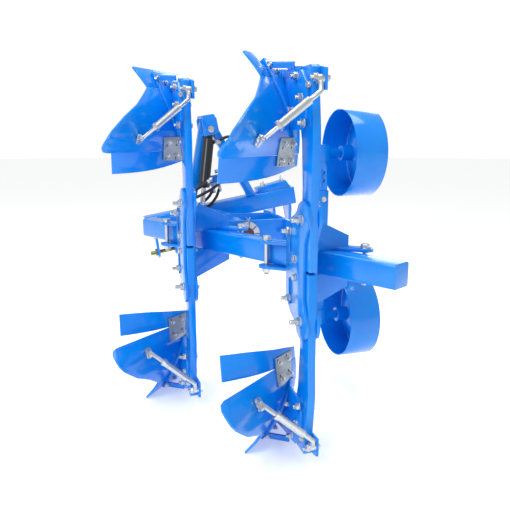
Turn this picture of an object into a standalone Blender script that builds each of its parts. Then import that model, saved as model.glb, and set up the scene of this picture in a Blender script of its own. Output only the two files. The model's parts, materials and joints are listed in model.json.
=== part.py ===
"""Two-furrow mounted reversible mouldboard plough, built piece by piece.

X is to the right, Y is the way of travel and Z is up, in metres. The plough is the same above and
below its middle plane: two bodies turn the soil while their two mirror images ride above the beam.
The drawing origin is at the rear body's landside heel, on the middle plane. Everything hangs under
one empty that puts the midpoint between the two lower hitch pins at the world origin.
"""
import math

import bmesh
import bpy
from mathutils import Matrix, Vector

# Overall sizes
TIP_HEIGHT = 1.50          # share edge to share edge, over both rows of bodies
FURROW_WIDTH = 0.325       # step sideways from one body to the next
BODY_STEP = 0.597          # step forwards from one body to the next
FIT_GAP = 0.0003           # gap between pieces that are bolted face to face

# Beam
BEAM_SIDE = 0.090
BEAM_WALL = 0.008
BEAM_LENGTH = 0.820 + math.hypot(FURROW_WIDTH, BODY_STEP)
BEAM_CORNER = 0.010
BEAM_REAR = Vector((0.259, -0.075, 0.0))

# Plough bodies
PLATE_SHEET = 0.009        # share and mouldboard
SHARE_HEIGHT = 0.081
SHARE_WING = -0.229
BOARD_TOP = 0.345
BOARD_TAIL = -0.380
FROG_PLATE = 0.012
LANDSIDE_PLATE = 0.010
LANDSIDE_HEIGHT = 0.075
LANDSIDE_HEEL = TIP_HEIGHT / 2 - 0.060     # below or above the middle plane
LANDSIDE_PITCH = 0.10      # rise for each metre of length
JOINT_PLATE = 0.006
BRACE_ROD = 0.009
BRACE_SLEEVE = 0.0145

# Legs and their brackets on the beam
LEG_PLATE = 0.030
LEG_RIGHT_FACE = -0.010    # the landside and the right cheek lie against this face
LEG_DEPTH = 0.085
LEG_REAR = 0.027
LEG_GAP = 0.005            # half of the gap between upper and lower leg
LEG_TOP = TIP_HEIGHT / 2 - 0.050
CHEEK_PLATE = 0.012
SADDLE_PLATE = 0.014
SADDLE_PLACE = 0.200
CLAMP_PLATE = 0.012
CLAMP_BOLT_RADIUS = 0.010
CLAMP_BOLTS = (("left", 0.585, -BEAM_SIDE / 2 - 0.019), ("right", 0.206, BEAM_SIDE / 2 + 0.033))

# Turnover hub and turning frame
HUB_X = -0.020
SHAFT_RADIUS = 0.028
HUB_TUBE_RADIUS = 0.046
HUB_NUT_RADIUS = 0.0565
HUB_NUT_LENGTH = 0.026
FRAME_REAR = BODY_STEP + 0.333
FRAME_FRONT = BODY_STEP + 0.573
FRAME_PLATE = 0.018
FRAME_HEIGHT = BEAM_SIDE + 0.030
CRANK_PLATE = 0.014
CRANK_PIN = Vector((-0.162, 0.050))

# Depth wheels
ARM_X = 0.285
ARM_Y = BODY_STEP + 0.113
ARM_BAR = 0.040
ARM_SLEEVE_WALL = 0.005
ARM_SLEEVE_HEIGHT = 0.440
ARM_TOP = 0.430
LOCK_HOLE_RADIUS = 0.007
WHEEL_RADIUS = 0.200
WHEEL_WIDTH = 0.150
WHEEL_SHEET = 0.0055
WHEEL_LEVEL = 0.390
WHEEL_LEFT = 0.362
AXLE_RADIUS = 0.016
HUB_BORE_GAP = 0.0006

# Headstock and turnover cylinder
ROLL = math.radians(10.0)  # the headstock leans to the left of the plough frame
CROSS_PLACE = BODY_STEP + 0.850
CROSS_SIDE = 0.100
CROSS_HALF = 0.440
CROSS_LEVEL = 0.050
LUG_PLATE = 0.014
LUG_OUTER = 0.400
LUG_INNER = 0.300
HITCH_PIN_RADIUS = 0.011
HITCH_PIN_LEVEL = -0.120
HITCH_PIN_PLACE = CROSS_PLACE + 0.033
MAST_BAR = 0.050
MAST_PLATE = 0.014
MAST_FOOT = 0.180
MAST_TOP = 0.550
MAST_DEPTH = 0.034
TIE_LEVEL = 0.235
TIE_HEIGHT = 0.040
TOP_LINK_GAP = 0.048
CLEVIS_LEVEL = 0.508
CYLINDER_PLACE = CROSS_PLACE - 0.090
BARREL_RADIUS = 0.030
BARREL_LENGTH = 0.310
ROD_RADIUS = 0.013
EYE_WIDTH = 0.046
ROD_EYE_RADIUS = 0.020
CLEVIS_PIN_RADIUS = 0.012
PORT_RADIUS = 0.011
ELBOW_RADIUS = 0.009
ELBOW_LENGTH = 0.043
PORT_REACH = 0.038         # elbow from the barrel's axis
UPPER_PORT = 0.065         # along the barrel from the clevis pin
LOWER_PORT = BARREL_LENGTH - 0.045
UPPER_ELBOW = Vector((0.06, -1.0, 0.03)).normalized()
LOWER_ELBOW = Vector((-0.45, -0.88, -0.12)).normalized()

# Hydraulic hoses, from the cylinder's ports to the coupling block under the mast's tie
HOSE_RADIUS = 0.008
HOSE_GAP = 0.0016
BLOCK_HEIGHT = 0.014
UNION_HEIGHT = 0.012
UPPER_HOSE_END = -0.030    # along the tie
LOWER_HOSE_END = 0.006
UPPER_HOSE = ((-0.062, -0.070, 0.446), (-0.024, -0.076, 0.461), (0.005, -0.073, 0.442),
              (0.014, -0.070, 0.395), (0.006, -0.068, 0.335), (-0.020, -0.065, 0.275),
              (-0.060, -0.063, 0.225), (-0.105, -0.062, 0.188), (-0.150, -0.060, 0.163),
              (-0.195, -0.053, 0.140), (-0.232, -0.035, 0.118), (-0.245, -0.009, 0.100),
              (-0.225, 0.013, 0.088), (-0.185, 0.026, 0.088), (-0.145, 0.032, 0.102),
              (-0.110, 0.042, 0.130), (-0.090, 0.050, 0.158))
LOWER_HOSE = ((-0.142, -0.058, 0.218), (-0.172, -0.068, 0.200), (-0.210, -0.066, 0.176),
              (-0.245, -0.052, 0.150), (-0.272, -0.027, 0.120), (-0.275, 0.002, 0.092),
              (-0.252, 0.023, 0.068), (-0.215, 0.0295, 0.056), (-0.170, 0.0295, 0.055),
              (-0.130, 0.0295, 0.068), (-0.095, 0.033, 0.095), (-0.066, 0.042, 0.130),
              (-0.052, 0.050, 0.162))

BLUE = (0.011, 0.258, 0.866)
ZINC = (0.62, 0.63, 0.62)
GREY = (0.36, 0.38, 0.40)
BLACK = (0.012, 0.012, 0.013)
BROWN = (0.075, 0.030, 0.035)
OLIVE = (0.30, 0.30, 0.12)

EXTENSION_LEFT = -0.335
EXTENSION_TOP = 0.438
EXTENSION_TIP = 0.388
EXTENSION_BELLY = 0.013
EXTENSION_LEAD = 0.120

UPPER, LOWER = 1, -1
BODY_SHIFT = Vector((-FURROW_WIDTH, BODY_STEP, 0))
HALF_HEIGHT = TIP_HEIGHT / 2
BEAM_RUN = Vector((-FURROW_WIDTH, BODY_STEP, 0)).normalized()
BEAM_SIDEWAYS = Vector((BEAM_RUN.y, -BEAM_RUN.x, 0))
LEG_LEFT_FACE = LEG_RIGHT_FACE - LEG_PLATE
ORIGIN = Vector((HUB_X - HITCH_PIN_LEVEL * math.sin(ROLL), HITCH_PIN_PLACE,
                 HITCH_PIN_LEVEL * math.cos(ROLL)))

ALONG = Matrix(((0, 0, 1, 0), (1, 0, 0, 0), (0, 1, 0, 0), (0, 0, 0, 1)))     # plates beside the legs
ACROSS = Matrix(((1, 0, 0, 0), (0, 0, -1, 0), (0, 1, 0, 0), (0, 0, 0, 1)))   # plates across travel


# Scene and helpers
def clear_scene():
    for item in list(bpy.data.objects):
        bpy.data.objects.remove(item, do_unlink=True)


def collection(name):
    group = bpy.data.collections.new(name)
    bpy.context.scene.collection.children.link(group)
    return group


def material(name, colour, metallic, roughness):
    mat = bpy.data.materials.new(name)
    mat.use_nodes = True
    shader = mat.node_tree.nodes["Principled BSDF"]
    shader.inputs["Base Color"].default_value = (*colour, 1)
    shader.inputs["Metallic"].default_value = metallic
    shader.inputs["Roughness"].default_value = roughness
    mat.diffuse_color = (*colour, 1)
    return mat


def at(x, y, z):
    return Matrix.Translation((x, y, z))


def beside(x):
    """A matrix for plates that lie along the legs, at x."""
    return at(x, 0, 0) @ ALONG


def leaned(u, place, w):
    """A point of the headstock: u along its cross tube, w up its mast, as it leans."""
    return Vector((HUB_X + u * math.cos(ROLL) - w * math.sin(ROLL), place,
                   u * math.sin(ROLL) + w * math.cos(ROLL)))


def aimed(start, end):
    """A matrix at start whose Z axis runs towards end."""
    turn = (end - start).to_track_quat("Z", "Y").to_matrix().to_4x4()
    return Matrix.Translation(start) @ turn


def solid(mesh):
    """A loose working object that holds one mesh."""
    item = bpy.data.objects.new("work", mesh)
    bpy.context.scene.collection.objects.link(item)
    return item


def from_bmesh(bm):
    mesh = bpy.data.meshes.new("work")
    bm.to_mesh(mesh)
    bm.free()
    return solid(mesh)


def evaluated(item):
    """The object's mesh after its modifiers, in world space, with its caps welded."""
    bpy.context.view_layer.update()
    graph = bpy.context.evaluated_depsgraph_get()
    mesh = bpy.data.meshes.new_from_object(item.evaluated_get(graph))
    mesh.transform(item.matrix_world)
    bm = bmesh.new()
    bm.from_mesh(mesh)
    bmesh.ops.remove_doubles(bm, verts=bm.verts, dist=1e-5)
    bm.to_mesh(mesh)
    bm.free()
    bpy.data.objects.remove(item)
    return mesh


def box(size, place, rounded=0.0):
    bm = bmesh.new()
    bmesh.ops.create_cube(bm, size=1.0)
    bmesh.ops.scale(bm, vec=size, verts=bm.verts)
    if rounded:
        long_edges = [e for e in bm.edges if e.calc_length() > max(size) * 0.99]
        bmesh.ops.bevel(bm, geom=long_edges, offset=rounded, segments=3, profile=0.5,
                        affect="EDGES")
    bmesh.ops.transform(bm, matrix=place, verts=bm.verts)
    return from_bmesh(bm)


def rod(start, end, radius, sides=20, end_radius=None):
    bm = bmesh.new()
    length = (end - start).length
    far = radius if end_radius is None else end_radius
    place = aimed(start, end) @ at(0, 0, length / 2)
    bmesh.ops.create_cone(bm, cap_ends=True, segments=sides, radius1=radius, radius2=far,
                          depth=length, matrix=place)
    return from_bmesh(bm)


def plate(outline, thickness, place, holes=()):
    """A flat plate from an outline; each hole is (x, y, radius)."""
    curve = bpy.data.curves.new("outline", "CURVE")
    curve.dimensions = "2D"
    curve.fill_mode = "BOTH"
    curve.extrude = thickness / 2
    rings = [outline]
    for x, y, radius in holes:
        turns = [math.tau * k / 16 for k in range(16)]
        rings.append([(x + radius * math.cos(a), y + radius * math.sin(a)) for a in turns])
    for ring in rings:
        spline = curve.splines.new("POLY")
        spline.points.add(len(ring) - 1)
        for point, (x, y) in zip(spline.points, ring):
            point.co = (x, y, 0, 1)
        spline.use_cyclic_u = True
    item = bpy.data.objects.new("outline", curve)
    bpy.context.scene.collection.objects.link(item)
    item.matrix_world = place
    return solid(evaluated(item))


def tube(points, radius, sides=2):
    curve = bpy.data.curves.new("tube", "CURVE")
    curve.dimensions = "3D"
    curve.bevel_depth = radius
    curve.bevel_resolution = sides
    curve.use_fill_caps = True
    spline = curve.splines.new("POLY")
    spline.points.add(len(points) - 1)
    for point, place in zip(spline.points, points):
        point.co = (*place, 1)
    item = bpy.data.objects.new("tube", curve)
    bpy.context.scene.collection.objects.link(item)
    return solid(evaluated(item))


def turned(profile, place, steps=32):
    """A solid of revolution about local Z from a closed ring of (radius, height) points."""
    bm = bmesh.new()
    verts = [bm.verts.new((radius, 0, height)) for radius, height in profile]
    for a, b in zip(verts, verts[1:] + verts[:1]):
        bm.edges.new((a, b))
    item = from_bmesh(bm)
    screw = item.modifiers.new("Turn", "SCREW")
    screw.steps = steps
    screw.render_steps = steps
    screw.use_merge_vertices = True
    screw.merge_threshold = 0.00001
    screw.use_normal_calculate = False
    mesh = evaluated(item)
    mesh.transform(place)
    return outward(solid(mesh))


def outward(item):
    bm = bmesh.new()
    bm.from_mesh(item.data)
    bmesh.ops.recalc_face_normals(bm, faces=bm.faces)
    bm.to_mesh(item.data)
    bm.free()
    return item


def combined(base, others, operation):
    """Booleans between working objects, one after another."""
    for other in others:
        change = base.modifiers.new("Boolean", "BOOLEAN")
        change.operation = operation
        change.solver = "EXACT"
        change.object = other
        mesh = evaluated(base)
        bpy.data.objects.remove(other)
        base = solid(mesh)
    return base


def welded(base, *others):
    return combined(base, others, "UNION")


def cut(base, *cutters):
    return combined(base, cutters, "DIFFERENCE")


def mirrored(item, side):
    """The same working object, or its image below the middle plane."""
    if side == LOWER:
        item.data.transform(Matrix.Diagonal((1, 1, -1, 1)))
        item.data.flip_normals()
    return item


def piece(name, item, finish, parent, group):
    """Names a finished solid, gives it its finish and hangs it on its joint's empty."""
    mesh = item.data
    axis = parent.matrix_world.translation
    mesh.transform(Matrix.Translation(-axis))
    bpy.data.objects.remove(item)
    mesh.shade_smooth()
    mesh.set_sharp_from_angle(angle=math.radians(32))
    mesh.materials.clear()
    mesh.materials.append(finish)
    made = bpy.data.objects.new(name, mesh)
    mesh.name = name
    group.objects.link(made)
    made.parent = parent
    return made


def pivot(name, place, parent):
    """An empty on a joint's axis, placed in the drawing's coordinates."""
    empty = bpy.data.objects.new(name, None)
    bpy.context.scene.collection.objects.link(empty)
    empty.location = place
    bpy.context.view_layer.update()
    empty.parent = parent
    if parent:
        empty.matrix_parent_inverse = parent.matrix_world.inverted()
    bpy.context.view_layer.update()
    return empty


# The curved working face of a plough body
SHIN = ((0.0, 0.48), (0.05, 0.412), (0.081, 0.383), (0.15, 0.322), (0.20, 0.292),
        (0.25, 0.275), (0.30, 0.270), (0.36, 0.280), (0.44, 0.302))
TWIST = ((0.0, 40), (0.20, 41.5), (0.285, 44), (0.335, 50), (0.36, 51))
TAIL = ((0.081, -0.173), (0.12, -0.200), (0.156, -0.228), (0.206, -0.286), (0.261, -0.338),
        (0.30, -0.365), (0.325, -0.378), (0.338, -0.376), (0.345, -0.360))


def between(table, value):
    """A smooth reading between the points of a table."""
    if value <= table[0][0]:
        return table[0][1]
    for (x0, y0), (x1, y1) in zip(table, table[1:]):
        if value <= x1:
            return y0 + (y1 - y0) * (value - x0) / (x1 - x0)
    return table[-1][1]


def face_point(x, height):
    """The working face at x, height above the share's edge; heights scale with the plough."""
    forward = between(SHIN, height) + x / math.tan(math.radians(between(TWIST, height)))
    return Vector((x, forward, HALF_HEIGHT - height))


def face_normal(x, height):
    step = 0.004
    along = face_point(x + step, height) - face_point(x - step, height)
    up = face_point(x, height + step) - face_point(x, height - step)
    return along.cross(up).normalized()


def face_patch(heights, left, right, columns, offset, thickness):
    """A curved sheet behind the working face, between two edges given as functions of height."""
    bm = bmesh.new()
    rows = []
    for height in heights:
        xs = [left(height) + (right(height) - left(height)) * k / columns
              for k in range(columns + 1)]
        rows.append([bm.verts.new(face_point(x, height) - offset * face_normal(x, height) * BACK)
                     for x in xs])
    for low, high in zip(rows, rows[1:]):
        for a, b, c, d in zip(low, low[1:], high[1:], high):
            bm.faces.new((a, b, c, d))
    item = from_bmesh(bm)
    shell = item.modifiers.new("Sheet", "SOLIDIFY")
    shell.thickness = thickness
    shell.offset = -1 if PATCH_FRONT else 1
    shell.use_even_offset = True
    return outward(solid(evaluated(item)))


BACK = 1 if face_normal(-0.1, 0.2).y > 0 else -1
PATCH_FRONT = BACK > 0


def spread(low, high, count):
    return [low + (high - low) * k / count for k in range(count + 1)]


def in_body(item, shift):
    item.data.transform(Matrix.Translation(shift))
    return item


SHARE_ROWS = (0.0, 0.020, 0.050, SHARE_HEIGHT)
BOARD_ROWS = (0.12, 0.156, 0.206, 0.235, 0.261, 0.285, 0.305, 0.325, 0.338, BOARD_TOP)


def face_left(height):
    """The outer edge of share and mouldboard."""
    if height < SHARE_HEIGHT:
        return SHARE_WING + (TAIL[0][1] - SHARE_WING) * height / SHARE_HEIGHT
    return between(TAIL, height)


def make_share():
    return face_patch(SHARE_ROWS, face_left, lambda h: 0.0, 9, 0.0, PLATE_SHEET)


def face_room():
    """The space of share and mouldboard with the fitting gap, cut from what lies behind them."""
    return face_patch(SHARE_ROWS + BOARD_ROWS, face_left, lambda h: 0.0, 9, 0.0,
                      PLATE_SHEET + 2 * FIT_GAP)


def make_mouldboard():
    rows = (SHARE_HEIGHT + 2 * FIT_GAP,) + BOARD_ROWS
    return face_patch(rows, face_left, lambda h: 0.0, 9, 0.0, PLATE_SHEET)


def make_extension():
    """The strip above the mouldboard's tail, which runs straighter and leaves a V-shaped gap."""
    low = BOARD_TOP + 4 * FIT_GAP
    bm = bmesh.new()
    rows = []
    for level in range(3):
        row = []
        for x in spread(EXTENSION_LEFT, -0.004, 9):
            along = x / EXTENSION_LEFT
            top = EXTENSION_TIP + (EXTENSION_TOP - EXTENSION_TIP) * along
            top += EXTENSION_BELLY * math.sin(math.pi * along)
            point = face_point(x, low + (top - low) * level / 2)
            straight = max(0.0, -x - 0.10) / 0.235
            point.y += EXTENSION_LEAD * straight ** 1.4
            row.append(bm.verts.new(point))
        rows.append(row)
    for a, b in zip(rows, rows[1:]):
        for k in range(9):
            bm.faces.new((a[k], a[k + 1], b[k + 1], b[k]))
    item = from_bmesh(bm)
    shell = item.modifiers.new("Sheet", "SOLIDIFY")
    shell.thickness = PLATE_SHEET
    shell.offset = -1 if PATCH_FRONT else 1
    return outward(solid(evaluated(item)))


def make_joint_plate():
    """The grey plate behind the seam of mouldboard and strip."""
    low, high = 0.285, 0.385
    right = lambda h: -0.046 + 0.019 * (h - low) / (high - low)
    rows = (low, 0.305, 0.325, BOARD_TOP, high)
    return face_patch(rows, lambda h: -0.118, right, 3, PLATE_SHEET + 3 * FIT_GAP, JOINT_PLATE)


def make_frog():
    """The curved plate behind share and mouldboard, its flange on the leg and its stay."""
    reach = ((0.020, -0.150), (0.10, -0.118), (0.20, -0.080), (0.285, -0.052))
    right = LEG_LEFT_FACE + 0.006
    patch = face_patch(spread(0.022, 0.285, 7), lambda h: between(reach, h), lambda h: right, 3,
                       PLATE_SHEET - 0.002, FROG_PLATE + 0.002)
    middle = PLATE_SHEET + FROG_PLATE * 0.6
    flange_x = LEG_LEFT_FACE - FIT_GAP - FROG_PLATE / 2
    front = []
    for height in spread(0.045, 0.26, 6):
        point = face_point(flange_x, height) - middle * face_normal(flange_x, height) * BACK
        front.append((point.y, point.z))
    top = LEG_TOP
    rear = [(0.100, top - 0.210), (0.060, top - 0.170), (0.055, top - 0.060),
            (0.110, top - 0.012), (0.240, top)]
    flange = plate(front + rear, FROG_PLATE, beside(flange_x))
    end = face_point(-0.135, 0.045) - middle * face_normal(-0.135, 0.045) * BACK
    start = Vector((flange_x, 0.188, end.z - 0.004))
    length = (end - start).length
    stay = box((0.010, 0.022, length), aimed(start, end) @ at(0, 0, length / 2))
    return cut(welded(patch, flange, stay), face_room())


def make_landside():
    top = LANDSIDE_HEEL
    nose = 0.375
    rise = LANDSIDE_PITCH * nose
    outline = [(0.0, top - LANDSIDE_HEIGHT), (nose - 0.045, top - LANDSIDE_HEIGHT + rise * 0.9),
               (nose, top + rise), (0.03, top + 0.003), (0.0, top - 0.004)]
    x = LEG_RIGHT_FACE + FIT_GAP + LANDSIDE_PLATE / 2
    return plate(outline, LANDSIDE_PLATE, beside(x))


def make_leg():
    """A flat bar that widens towards the frog and rests on the landside."""
    front = LEG_REAR + LEG_DEPTH
    top = LEG_TOP
    outline = [(LEG_REAR, LEG_GAP), (front, LEG_GAP), (front - 0.003, 0.30),
               (0.122, top - 0.250), (0.150, top - 0.160), (0.186, top - 0.100),
               (0.197, top - 0.070), (0.197, top - 0.012), (0.185, top), (0.050, top),
               (0.040, top - 0.010), (0.036, top - 0.100), (0.022, top - 0.200),
               (0.018, top - 0.260), (0.024, top - 0.340), (0.025, 0.28)]
    x = (LEG_LEFT_FACE + LEG_RIGHT_FACE) / 2
    return plate(outline, LEG_PLATE, beside(x))


def brace_route():
    """Foot on the landside, knee, and eye on the back of the mouldboard."""
    x = LEG_RIGHT_FACE - 0.012
    foot = Vector((x, 0.016, HALF_HEIGHT - 0.100))
    knee = Vector((x - 0.006, -0.012, HALF_HEIGHT - 0.138))
    surface = face_point(-0.235, 0.290)
    eye = surface - (PLATE_SHEET + 0.010) * face_normal(-0.235, 0.290) * BACK
    return foot, knee, eye


def make_brace():
    foot, knee, eye = brace_route()
    normal = face_normal(-0.235, 0.290) * BACK
    run = (eye - knee).normalized()
    surface = eye + normal * (0.010 - 3 * FIT_GAP)
    bent = tube([foot, foot.lerp(knee, 0.5) + Vector((0, -0.006, 0.002)), knee,
                 knee + run * 0.03], BRACE_ROD)
    shank = rod(knee + run * 0.02, eye - run * 0.004, BRACE_ROD, 12)
    sleeve = rod(knee + run * 0.045, knee + run * 0.165, BRACE_SLEEVE, 12)
    nut = rod(knee + run * 0.1645, knee + run * 0.179, BRACE_SLEEVE * 1.25, 6)
    seat = Vector((LEG_RIGHT_FACE, foot.y, foot.z))
    pad = rod(seat, foot - Vector((0.010, 0, 0)), 0.016, 16)
    ring = rod(surface, surface - normal * 0.013, 0.018, 16)
    return welded(shank, bent, sleeve, nut, pad, ring)


def make_bodies(group, parent, blue, zinc, grey):
    makers = (("share", make_share, blue), ("mouldboard", make_mouldboard, blue),
              ("extension_strip", make_extension, blue), ("joint_plate", make_joint_plate, grey),
              ("frog", make_frog, blue), ("landside", make_landside, blue),
              ("brace", make_brace, zinc), ("leg", make_leg, blue))
    for row, shift in (("rear", Vector((0, 0, 0))), ("front", BODY_SHIFT)):
        for level, side in (("upper", UPPER), ("lower", LOWER)):
            for name, make, finish in makers:
                item = in_body(mirrored(make(), side), shift)
                piece(f"{row}_{level}_{name}", item, finish, parent, group)


# Beam and the brackets that clamp the legs to it
def beam_point(run, sideways=0.0, z=0.0):
    return BEAM_REAR + BEAM_RUN * run + BEAM_SIDEWAYS * sideways + Vector((0, 0, z))


def beam_x(place):
    """The beam's own middle line, sideways, at a place along travel."""
    return BEAM_REAR.x + BEAM_RUN.x / BEAM_RUN.y * (place - BEAM_REAR.y)


def beam_matrix(middle):
    turn = Matrix((BEAM_SIDEWAYS, BEAM_RUN, Vector((0, 0, 1)))).transposed().to_4x4()
    return Matrix.Translation(middle) @ turn


def make_beam():
    """A square tube, capped at its rear end and open at the front."""
    tube_box = box((BEAM_SIDE, BEAM_LENGTH, BEAM_SIDE), beam_matrix(beam_point(BEAM_LENGTH / 2)),
                   BEAM_CORNER)
    hole = BEAM_SIDE - 2 * BEAM_WALL
    inner = box((hole, BEAM_LENGTH, hole), beam_matrix(beam_point(BEAM_LENGTH / 2 + BEAM_WALL)))
    return cut(tube_box, inner)


def cheek_outline():
    """Two lobes round the leg bolts, a waist behind and a straight edge in front."""
    half = [(0.058, 0.0), (0.056, 0.10), (0.036, 0.145), (0.018, 0.175), (0.016, 0.205),
            (0.028, 0.235), (0.052, 0.250), (0.086, 0.250), (0.112, 0.236), (0.128, 0.212),
            (0.150, 0.195), (0.185, 0.180), (0.225, 0.145), (0.238, 0.120)]
    lower = [(y, -z) for y, z in reversed(half[1:])]
    return half[1:] + lower + [half[0]]


def make_leg_bracket():
    left = plate(cheek_outline(), CHEEK_PLATE, beside(LEG_LEFT_FACE - FIT_GAP - CHEEK_PLATE / 2))
    right_x = LEG_RIGHT_FACE + FIT_GAP + CHEEK_PLATE / 2
    right = plate(cheek_outline(), CHEEK_PLATE, beside(right_x))
    left_end = LEG_LEFT_FACE - FIT_GAP - CHEEK_PLATE * 0.6
    saddle = plate([(left_end, -0.155), (0.03, -0.175), (0.184, -0.100), (0.184, 0.100),
                    (0.03, 0.175), (left_end, 0.155)], SADDLE_PLATE,
                   at(0, SADDLE_PLACE, 0) @ ACROSS)
    clamps = [make_clamp(side) for side in (UPPER, LOWER)]
    bracket = welded(saddle, left, right, *clamps)
    room = BEAM_SIDE + 2 * FIT_GAP
    passage = box((room, 0.8, room), beam_matrix(beam_point(0.33)))
    hollow = rod(Vector((0.045, SADDLE_PLACE - 0.02, 0)), Vector((0.045, SADDLE_PLACE + 0.02, 0)),
                 room / 2 - 0.004, 16)
    return cut(bracket, passage, hollow)


def make_clamp(side):
    """A flat plate over the beam, round at both ends, which the long bolts pull down."""
    a, b = [beam_point(run, sideways) for _, run, sideways in CLAMP_BOLTS]
    run = (b - a).normalized()
    level = side * (BEAM_SIDE / 2 + FIT_GAP + CLAMP_PLATE / 2)
    heading = math.atan2(run.y, run.x)
    half, radius = (b - a).length / 2, 0.032
    outline = [(half + radius * math.cos(t), radius * math.sin(t))
               for t in spread(-math.pi / 2, math.pi / 2, 8)]
    outline += [(-x, -y) for x, y in outline]
    middle = (a + b) / 2
    hole = CLAMP_BOLT_RADIUS + 0.001
    return plate(outline, CLAMP_PLATE, at(middle.x, middle.y, level)
                 @ Matrix.Rotation(heading, 4, "Z"), ((half, 0, hole), (-half, 0, hole)))


def make_clamp_bolt(run, sideways):
    """A long bolt with its head above the upper clamp and its nut below the lower one."""
    seat = BEAM_SIDE / 2 + FIT_GAP * 2 + CLAMP_PLATE
    spot = beam_point(run, sideways)
    up = Vector((0, 0, 1))
    shank = rod(spot - up * (seat + 0.026), spot + up * (seat + 0.004), CLAMP_BOLT_RADIUS, 16)
    head = rod(spot + up * seat, spot + up * (seat + 0.013), 0.018, 6)
    nut = rod(spot - up * (seat + 0.017), spot - up * seat, 0.018, 6)
    return welded(shank, head, nut)


# Turning frame, hub and depth wheel arm
def make_turning_frame():
    """Hub tube, two cross plates to the beam, side arm to the wheel sleeve, and the crank."""
    crank_front = CYLINDER_PLACE - BARREL_RADIUS - 0.006
    back = Vector((HUB_X, FRAME_REAR - FRAME_PLATE / 2 - 0.002, 0))
    hub = rod(back, Vector((HUB_X, crank_front, 0)), HUB_TUBE_RADIUS, 32)
    body = hub
    for place in (FRAME_REAR, FRAME_FRONT):
        left = beam_x(place - FRAME_PLATE / 2) + BEAM_SIDE / 2 / BEAM_RUN.y + FIT_GAP * 3
        body = welded(body, box((0.185 - left, FRAME_PLATE, FRAME_HEIGHT),
                                at((0.185 + left) / 2, place, 0)))
    side = box((0.020, FRAME_FRONT - FRAME_REAR + 0.16, FRAME_HEIGHT - 0.004),
               at(0.185, (FRAME_FRONT + FRAME_REAR) / 2 + 0.03, 0))
    start = Vector((0.185, FRAME_REAR - 0.03, 0))
    end = Vector((ARM_X - 0.012, ARM_Y + ARM_BAR / 2 + ARM_SLEEVE_WALL + 0.0060, 0))
    arm = box((FRAME_HEIGHT - 0.03, 0.024, (end - start).length),
              aimed(start, end) @ at(0, 0, (end - start).length / 2))
    pin = Vector((CRANK_PIN.x, 0, CRANK_PIN.y))
    centre = Vector((HUB_X, 0, 0))
    middle, reach = (pin + centre) / 2, (pin - centre)
    crank_place = crank_front - CRANK_PLATE / 2
    turn = math.atan2(reach.z, reach.x)
    half = reach.length / 2
    outline = [(half + 0.030 * math.cos(t), 0.030 * math.sin(t))
               for t in spread(-math.pi / 2, math.pi / 2, 8)]
    outline += [(-half, 0.050), (-half, -0.050)]
    crank = plate(outline, CRANK_PLATE, at(middle.x, crank_place, middle.z)
                  @ ACROSS @ Matrix.Rotation(turn, 4, "Z"))
    body = welded(body, side, arm, crank)
    bore = rod(back - Vector((0, 0.05, 0)), Vector((HUB_X, crank_front + 0.05, 0)),
               SHAFT_RADIUS + FIT_GAP, 32)
    return cut(body, bore)


def make_link_plate():
    """A round-ended plate that bolts the beam to the top of the turning frame."""
    place = FRAME_REAR + 0.055
    a = Vector((beam_x(place) + 0.018, place, 0))
    b = a + Vector((0.080, -0.024, 0))
    run = b - a
    half, radius = run.length / 2, 0.030
    outline = [(half + radius * math.cos(t), radius * math.sin(t))
               for t in spread(-math.pi / 2, math.pi / 2, 8)]
    outline += [(-x, -y) for x, y in outline]
    level = FRAME_HEIGHT / 2 + FIT_GAP + 0.006
    middle = (a + b) / 2
    return plate(outline, 0.012, at(middle.x, middle.y, level)
                 @ Matrix.Rotation(math.atan2(run.y, run.x), 4, "Z"))


def make_wheel_sleeve():
    outer = ARM_BAR + 2 * (ARM_SLEEVE_WALL + FIT_GAP)
    sleeve = box((outer, outer, ARM_SLEEVE_HEIGHT), at(ARM_X, ARM_Y, 0), 0.006)
    room = ARM_BAR + 2 * FIT_GAP
    return cut(sleeve, box((room, room, ARM_SLEEVE_HEIGHT + 0.1), at(ARM_X, ARM_Y, 0)))


def make_wheel_bar(side):
    """Square bar with a block and the stub axle at its end."""
    foot = 0.090
    bar = box((ARM_BAR, ARM_BAR, ARM_TOP - foot), at(ARM_X, ARM_Y, (ARM_TOP + foot) / 2), 0.003)
    block = box((ARM_BAR + 0.012, ARM_BAR + 0.012, 0.070), at(ARM_X, ARM_Y, WHEEL_LEVEL), 0.004)
    start = Vector((ARM_X + ARM_BAR / 2 - 0.004, ARM_Y, WHEEL_LEVEL))
    end = Vector((WHEEL_LEFT + 0.1, ARM_Y, WHEEL_LEVEL))
    axle = rod(start, end, AXLE_RADIUS, 24)
    collar = rod(start, Vector((WHEEL_LEFT + 0.005, ARM_Y, WHEEL_LEVEL)), AXLE_RADIUS + 0.006, 24)
    cap = rod(end - Vector((0.001, 0, 0)), end + Vector((0.008, 0, 0)), AXLE_RADIUS + 0.010, 6)
    through = Vector((0, 0.03, 0))
    holes = []
    for z in (0.267, 0.303):
        middle = Vector((ARM_X, ARM_Y, z))
        holes.append(rod(middle - through, middle + through, LOCK_HOLE_RADIUS, 12))
    return mirrored(cut(welded(bar, block, collar, axle, cap), *holes), side)


def make_wheel(side):
    """Rim, cone and hub turned as one closed ring about the axle."""
    bore = AXLE_RADIUS + HUB_BORE_GAP
    rim = WHEEL_RADIUS - WHEEL_SHEET
    width, sheet = WHEEL_WIDTH, WHEEL_SHEET
    profile = [(WHEEL_RADIUS, 0.0), (WHEEL_RADIUS, width), (rim, width), (rim, width - 0.006),
               (0.034, 0.075), (0.034, 0.094), (bore, 0.094), (bore, 0.010), (0.034, 0.010),
               (0.034, 0.075 - sheet * 1.3), (rim, width - 0.006 - sheet * 1.3), (rim, 0.0)]
    place = at(WHEEL_LEFT, ARM_Y, side * WHEEL_LEVEL) @ Matrix.Rotation(math.pi / 2, 4, "Y")
    return turned(profile, place, 48)


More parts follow.
